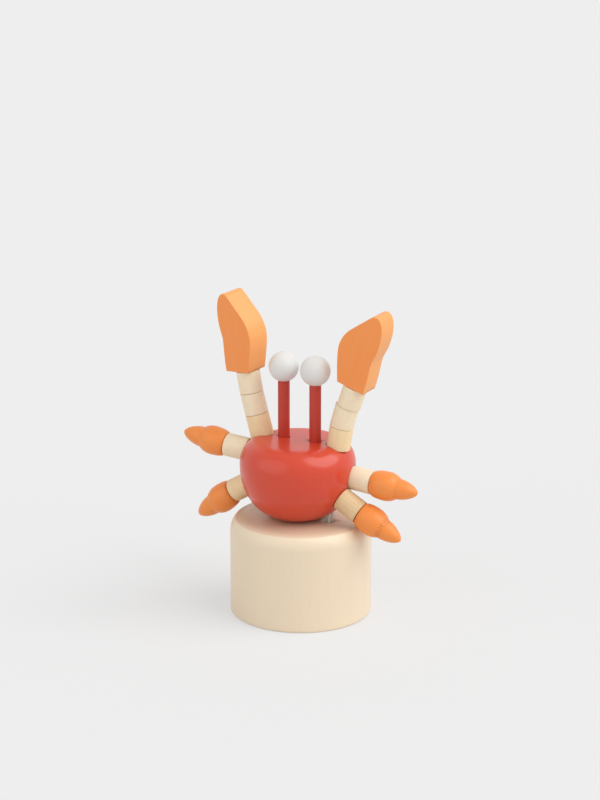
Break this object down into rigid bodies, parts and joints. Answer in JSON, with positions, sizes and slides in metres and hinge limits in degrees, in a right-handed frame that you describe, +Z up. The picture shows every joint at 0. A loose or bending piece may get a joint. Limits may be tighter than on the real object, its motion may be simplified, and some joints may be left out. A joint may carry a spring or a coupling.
{
  "type": "push puppet toy",
  "caption": "Wooden push puppet in the shape of a crab on a hollow round base, its jointed limbs held taut by cords and a sprung button underneath.",
  "frame": {"origin": "centre of the base's foot, on the plane it stands on", "axes": "+Z up along the base's axis, -Y out of the crab's front, +X to the right of a viewer in front of it"},
  "size_m": [0.0863, 0.048, 0.1088],
  "materials": {
    "beech_base": "clear satin lacquer",
    "red_lacquer": "smooth satin lacquer",
    "red_stalk": "satin lacquer",
    "white_eye": "satin lacquer",
    "maple_bead": "plain sanded",
    "orange_claw": "matt stain",
    "orange_tip": "satin lacquer",
    "peg_wood": "plain",
    "cord": "braided nylon cord",
    "spring_wire": "bright drawn wire"
  },
  "bodies": {
    "base": {"base": "beech_base", "spring": "spring_wire"},
    "button": {"push_button": "beech_base", "left_cord_knot": "cord", "right_cord_knot": "cord"},
    "crab_body": {"crab_body": "red_lacquer", "left_eye_stalk": "red_stalk", "left_eye": "white_eye", "right_eye_stalk": "red_stalk", "right_eye": "white_eye", "left_arm_cord": "cord", "left_upper_leg_cord": "cord", "left_lower_leg_cord": "cord", "right_arm_cord": "cord", "right_upper_leg_cord": "cord", "right_lower_leg_cord": "cord"},
    "left_arm_bead_1": {"left_arm_bead_1": "maple_bead"},
    "left_arm_bead_2": {"left_arm_bead_2": "maple_bead"},
    "left_arm_bead_3": {"left_arm_bead_3": "maple_bead"},
    "left_claw": {"left_claw": "orange_claw", "left_claw_peg": "peg_wood"},
    "right_arm_bead_1": {"right_arm_bead_1": "maple_bead"},
    "right_arm_bead_2": {"right_arm_bead_2": "maple_bead"},
    "right_arm_bead_3": {"right_arm_bead_3": "maple_bead"},
    "right_claw": {"right_claw": "orange_claw", "right_claw_peg": "peg_wood"},
    "left_upper_leg_bead": {"left_upper_leg_bead": "maple_bead"},
    "left_upper_leg_tip": {"left_upper_leg_tip": "orange_tip", "left_upper_leg_peg": "peg_wood"},
    "left_lower_leg_bead": {"left_lower_leg_bead": "maple_bead"},
    "left_lower_leg_tip": {"left_lower_leg_tip": "orange_tip", "left_lower_leg_peg": "peg_wood"},
    "right_upper_leg_bead": {"right_upper_leg_bead": "maple_bead"},
    "right_upper_leg_tip": {"right_upper_leg_tip": "orange_tip", "right_upper_leg_peg": "peg_wood"},
    "right_lower_leg_bead": {"right_lower_leg_bead": "maple_bead"},
    "right_lower_leg_tip": {"right_lower_leg_tip": "orange_tip", "right_lower_leg_peg": "peg_wood"}
  },
  "joints": [
    {"name": "button_press", "type": "slide", "parent": "base", "child": "button", "axis": [0, 0, 1], "range_m": [0, 0.008], "stiffness_N_per_m": 200, "springref_m": -0.012, "deforming": ["spring", "left_arm_cord", "left_upper_leg_cord", "left_lower_leg_cord", "right_arm_cord", "right_upper_leg_cord", "right_lower_leg_cord"]},
    {"name": "body_tilt", "type": "hinge", "parent": "base", "child": "crab_body", "pos_m": [-0.0012, -0.0056, 0.03305], "axis": [1, 0, 0], "range_deg": [0, 6]},
    {"name": "left_arm_bead_1_lean", "type": "hinge", "parent": "crab_body", "child": "left_arm_bead_1", "pos_m": [-0.0195, 0.00058, 0.05785], "axis": [0.2588, -0.9659, 0], "range_deg": [0, 22]},
    {"name": "left_arm_bead_2_lean", "type": "hinge", "parent": "left_arm_bead_1", "child": "left_arm_bead_2", "pos_m": [-0.02139, 0.00008, 0.06582], "axis": [0.2588, -0.9659, 0], "range_deg": [0, 22]},
    {"name": "left_arm_bead_3_lean", "type": "hinge", "parent": "left_arm_bead_2", "child": "left_arm_bead_3", "pos_m": [-0.02309, -0.00038, 0.073], "axis": [0.2588, -0.9659, 0], "range_deg": [0, 20]},
    {"name": "left_claw_lean", "type": "hinge", "parent": "left_arm_bead_3", "child": "left_claw", "pos_m": [-0.02449, -0.00057, 0.08082], "axis": [0.254, -0.9669, 0.0234], "range_deg": [0, 20]},
    {"name": "right_arm_bead_1_lean", "type": "hinge", "parent": "crab_body", "child": "right_arm_bead_1", "pos_m": [0.01718, 0.0025, 0.0582], "axis": [-0.225, 0.9744, 0], "range_deg": [0, 22]},
    {"name": "right_arm_bead_2_lean", "type": "hinge", "parent": "right_arm_bead_1", "child": "right_arm_bead_2", "pos_m": [0.01828, 0.00275, 0.06551], "axis": [-0.225, 0.9744, 0], "range_deg": [0, 22]},
    {"name": "right_arm_bead_3_lean", "type": "hinge", "parent": "right_arm_bead_2", "child": "right_arm_bead_3", "pos_m": [0.02021, 0.00297, 0.07267], "axis": [-0.2189, 0.9753, 0.0287], "range_deg": [0, 20]},
    {"name": "right_claw_lean", "type": "hinge", "parent": "right_arm_bead_3", "child": "right_claw", "pos_m": [0.02308, 0.00307, 0.07953], "axis": [-0.2131, 0.9758, 0.0481], "range_deg": [0, 20]},
    {"name": "left_upper_leg_bead_lean", "type": "hinge", "parent": "crab_body", "child": "left_upper_leg_bead", "pos_m": [-0.02042, -0.00069, 0.04983], "axis": [0.0698, -0.9976, 0], "range_deg": [0, 16]},
    {"name": "left_upper_leg_tip_lean", "type": "hinge", "parent": "left_upper_leg_bead", "child": "left_upper_leg_tip", "pos_m": [-0.02855, -0.00126, 0.05069], "axis": [0.0698, -0.9976, 0], "range_deg": [0, 18]},
    {"name": "left_lower_leg_bead_lean", "type": "hinge", "parent": "crab_body", "child": "left_lower_leg_bead", "pos_m": [-0.01652, -0.0005, 0.03927], "axis": [0.0523, -0.9986, 0], "range_deg": [0, 3]},
    {"name": "left_lower_leg_tip_lean", "type": "hinge", "parent": "left_lower_leg_bead", "child": "left_lower_leg_tip", "pos_m": [-0.02354, -0.00087, 0.03505], "axis": [0.0523, -0.9986, 0], "range_deg": [0, 6]},
    {"name": "right_upper_leg_bead_lean", "type": "hinge", "parent": "crab_body", "child": "right_upper_leg_bead", "pos_m": [0.01688, 0.00387, 0.0445], "axis": [0, 1, 0], "range_deg": [0, 12]},
    {"name": "right_upper_leg_tip_lean", "type": "hinge", "parent": "right_upper_leg_bead", "child": "right_upper_leg_tip", "pos_m": [0.02505, 0.00387, 0.04378], "axis": [0, 1, 0], "range_deg": [0, 12]},
    {"name": "right_lower_leg_bead_lean", "type": "hinge", "parent": "crab_body", "child": "right_lower_leg_bead", "pos_m": [0.01402, -0.00126, 0.03894], "axis": [-0.0349, 0.9994, 0], "range_deg": [0, 3]},
    {"name": "right_lower_leg_tip_lean", "type": "hinge", "parent": "right_lower_leg_bead", "child": "right_lower_leg_tip", "pos_m": [0.02112, -0.00101, 0.03484], "axis": [-0.0349, 0.9994, 0], "range_deg": [0, 3]}
  ],
  "couplings": [
    {"joint": "body_tilt", "follows": "button_press", "rad_per_m": 13.077},
    {"joint": "left_arm_bead_1_lean", "follows": "button_press", "rad_per_m": 47.949},
    {"joint": "left_arm_bead_2_lean", "follows": "button_press", "rad_per_m": 47.949},
    {"joint": "left_arm_bead_3_lean", "follows": "button_press", "rad_per_m": 43.59},
    {"joint": "left_claw_lean", "follows": "button_press", "rad_per_m": 43.59},
    {"joint": "right_arm_bead_1_lean", "follows": "button_press", "rad_per_m": 47.949},
    {"joint": "right_arm_bead_2_lean", "follows": "button_press", "rad_per_m": 47.949},
    {"joint": "right_arm_bead_3_lean", "follows": "button_press", "rad_per_m": 43.59},
    {"joint": "right_claw_lean", "follows": "button_press", "rad_per_m": 43.59},
    {"joint": "left_upper_leg_bead_lean", "follows": "button_press", "rad_per_m": 34.872},
    {"joint": "left_upper_leg_tip_lean", "follows": "button_press", "rad_per_m": 39.231},
    {"joint": "left_lower_leg_bead_lean", "follows": "button_press", "rad_per_m": 6.538},
    {"joint": "left_lower_leg_tip_lean", "follows": "button_press", "rad_per_m": 13.077},
    {"joint": "right_upper_leg_bead_lean", "follows": "button_press", "rad_per_m": 26.154},
    {"joint": "right_upper_leg_tip_lean", "follows": "button_press", "rad_per_m": 26.154},
    {"joint": "right_lower_leg_bead_lean", "follows": "button_press", "rad_per_m": 6.538},
    {"joint": "right_lower_leg_tip_lean", "follows": "button_press", "rad_per_m": 6.538}
  ]
}
